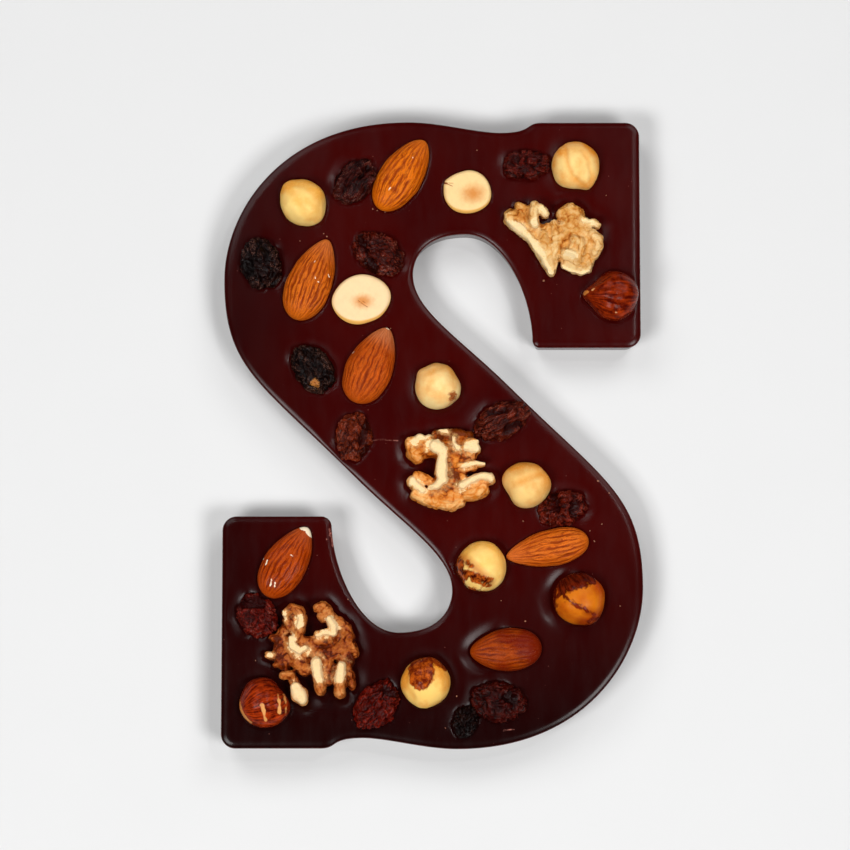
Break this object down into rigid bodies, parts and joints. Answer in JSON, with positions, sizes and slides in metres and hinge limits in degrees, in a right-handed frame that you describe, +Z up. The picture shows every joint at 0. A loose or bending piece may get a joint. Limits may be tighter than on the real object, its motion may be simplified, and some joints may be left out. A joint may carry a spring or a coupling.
{
  "type": "chocolate letter",
  "caption": "Flat letter S cast in dark chocolate, with almonds, hazelnuts, walnut pieces and raisins pressed into its top.",
  "frame": {"origin": "on the surface that the letter lies on, under the middle of its bounding box", "axes": "+X across the letter to the reader's right, +Y towards the top of the letter, +Z up, away from the flat underside"},
  "size_m": [0.1118, 0.1686, 0.019],
  "materials": {
    "chocolate": "smooth dark chocolate, glossy",
    "almond": "ridged brown almond skin",
    "hazelnut": "peeled, roasted hazelnut, soft sheen",
    "hazelnut_skin": "hazelnut with its red-brown skin on",
    "walnut": "cream walnut kernel with brown skin in its folds",
    "raisin": "dark wrinkled raisin"
  },
  "bodies": {
    "root": {"letter": "chocolate", "almond_1": "almond", "almond_2": "almond", "almond_3": "almond", "almond_4": "almond", "almond_5": "almond", "almond_6": "almond", "hazelnut_1": "hazelnut", "hazelnut_2": "hazelnut", "hazelnut_3": "hazelnut", "hazelnut_4": "hazelnut", "hazelnut_5": "hazelnut_skin", "hazelnut_6": "hazelnut", "hazelnut_7": "hazelnut", "hazelnut_8": "hazelnut", "hazelnut_9": "hazelnut", "hazelnut_10": "hazelnut", "hazelnut_11": "hazelnut_skin", "walnut_1": "walnut", "walnut_2": "walnut", "walnut_3": "walnut", "raisin_1": "raisin", "raisin_2": "raisin", "raisin_3": "raisin", "raisin_4": "raisin", "raisin_5": "raisin", "raisin_6": "raisin", "raisin_7": "raisin", "raisin_8": "raisin", "raisin_9": "raisin", "raisin_10": "raisin", "raisin_11": "raisin", "raisin_12": "raisin"}
  },
  "joints": []
}
